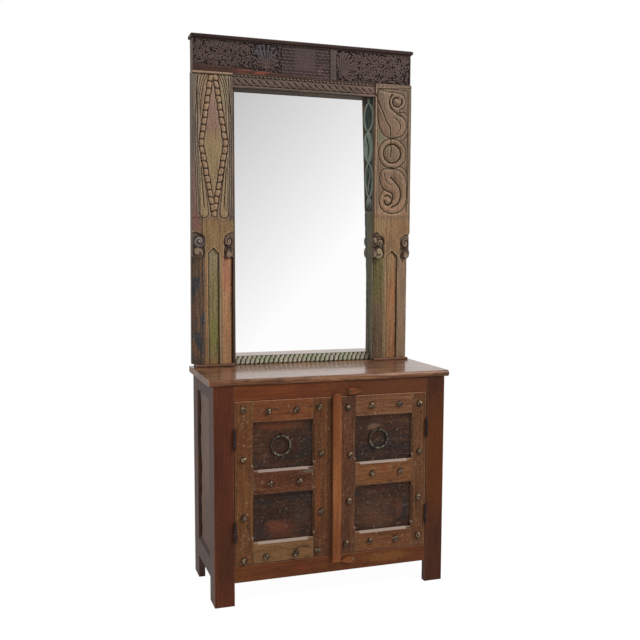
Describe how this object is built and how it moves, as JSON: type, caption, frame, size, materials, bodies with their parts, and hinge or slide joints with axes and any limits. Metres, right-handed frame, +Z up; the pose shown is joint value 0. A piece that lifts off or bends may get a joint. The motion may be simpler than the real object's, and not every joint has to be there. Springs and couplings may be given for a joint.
{
  "type": "mirrored cabinet",
  "caption": "Low wooden cabinet with panelled doors and iron ring pulls under a tall mirror framed by carved posts, a carved frieze and a cap board.",
  "frame": {"origin": "middle of the footprint, on the floor", "axes": "+X along the width, to the right of someone facing the doors; +Y from the doors to the back; +Z up"},
  "size_m": [0.93, 0.42, 2.095],
  "materials": {
    "frame_wood": "dark red-brown polished old wood",
    "top_wood": "brown polished planks",
    "side_wood": "weathered grey-brown wood",
    "inner_wood": "plain unfinished wood",
    "carved_wood": "carved tan wood with traces of green and ochre paint",
    "frieze_wood": "carved dark wood",
    "green_wood": "carved wood with worn green paint",
    "mirror_silver": "silvered flat glass",
    "door_wood": "worn brown wood",
    "panel_wood": "brown wood with worn blue-grey and orange paint",
    "strip_wood": "orange-brown polished wood",
    "iron": "dark forged iron"
  },
  "bodies": {
    "cabinet": {"tabletop_front_plank": "top_wood", "tabletop_back_plank": "top_wood", "front_left_leg": "frame_wood", "front_right_leg": "frame_wood", "back_left_leg": "side_wood", "back_right_leg": "side_wood", "front_top_rail": "frame_wood", "front_bottom_rail": "frame_wood", "left_side_stile": "side_wood", "right_side_stile": "side_wood", "left_side_top_rail": "side_wood", "right_side_top_rail": "side_wood", "left_side_bottom_rail": "side_wood", "right_side_bottom_rail": "side_wood", "left_side_panel": "side_wood", "right_side_panel": "side_wood", "back_top_rail": "inner_wood", "back_bottom_rail": "inner_wood", "back_panel": "inner_wood", "bottom_board": "inner_wood", "shelf": "inner_wood", "top_turn_button_screw": "iron", "bottom_turn_button_screw": "iron", "left_post": "carved_wood", "right_post": "carved_wood", "frieze_board": "frieze_wood", "cap_board": "frieze_wood", "lintel": "frieze_wood", "left_jamb": "green_wood", "right_jamb": "green_wood", "bottom_strip": "green_wood", "mirror_glass": "mirror_silver", "mirror_backboard": "inner_wood", "left_lower_hinge_frame_leaf": "iron", "left_upper_hinge_frame_leaf": "iron", "right_lower_hinge_frame_leaf": "iron", "right_upper_hinge_frame_leaf": "iron"},
    "left_door": {"left_door_hinge_stile": "door_wood", "left_door_meeting_stile": "door_wood", "left_door_top_rail": "door_wood", "left_door_mid_rail": "door_wood", "left_door_bottom_rail": "door_wood", "left_door_panel": "panel_wood", "left_ring_eye": "iron", "left_lower_hinge_door_leaf": "iron", "left_upper_hinge_door_leaf": "iron"},
    "right_door": {"right_door_hinge_stile": "door_wood", "right_door_meeting_stile": "door_wood", "right_door_top_rail": "door_wood", "right_door_mid_rail": "door_wood", "right_door_bottom_rail": "door_wood", "right_door_panel": "panel_wood", "right_ring_eye": "iron", "right_lower_hinge_door_leaf": "iron", "right_upper_hinge_door_leaf": "iron", "centre_strip": "strip_wood"},
    "left_ring": {"left_ring": "iron"},
    "right_ring": {"right_ring": "iron"},
    "top_turn_button": {"top_turn_button": "strip_wood"},
    "bottom_turn_button": {"bottom_turn_button": "strip_wood"}
  },
  "joints": [
    {"name": "left_door_hinge", "type": "hinge", "parent": "cabinet", "child": "left_door", "pos_m": [-0.3755, -0.2012, 0.45], "axis": [0, 0, -1], "range_deg": [0, 110]},
    {"name": "right_door_hinge", "type": "hinge", "parent": "cabinet", "child": "right_door", "pos_m": [0.3755, -0.2012, 0.45], "axis": [0, 0, 1], "range_deg": [0, 110]},
    {"name": "left_ring_swing", "type": "hinge", "parent": "left_door", "child": "left_ring", "pos_m": [-0.20099, -0.1872, 0.6146], "axis": [-1, 0, 0], "range_deg": [0, 100]},
    {"name": "right_ring_swing", "type": "hinge", "parent": "right_door", "child": "right_ring", "pos_m": [0.18199, -0.1872, 0.6146], "axis": [-1, 0, 0], "range_deg": [0, 100]},
    {"name": "top_turn_button_pivot", "type": "hinge", "parent": "cabinet", "child": "top_turn_button", "pos_m": [0.06, -0.195, 0.7675], "axis": [0, 1, 0], "range_deg": [0, 90]},
    {"name": "bottom_turn_button_pivot", "type": "hinge", "parent": "cabinet", "child": "bottom_turn_button", "pos_m": [0.076, -0.195, 0.126], "axis": [0, 1, 0], "range_deg": [0, 90]}
  ]
}
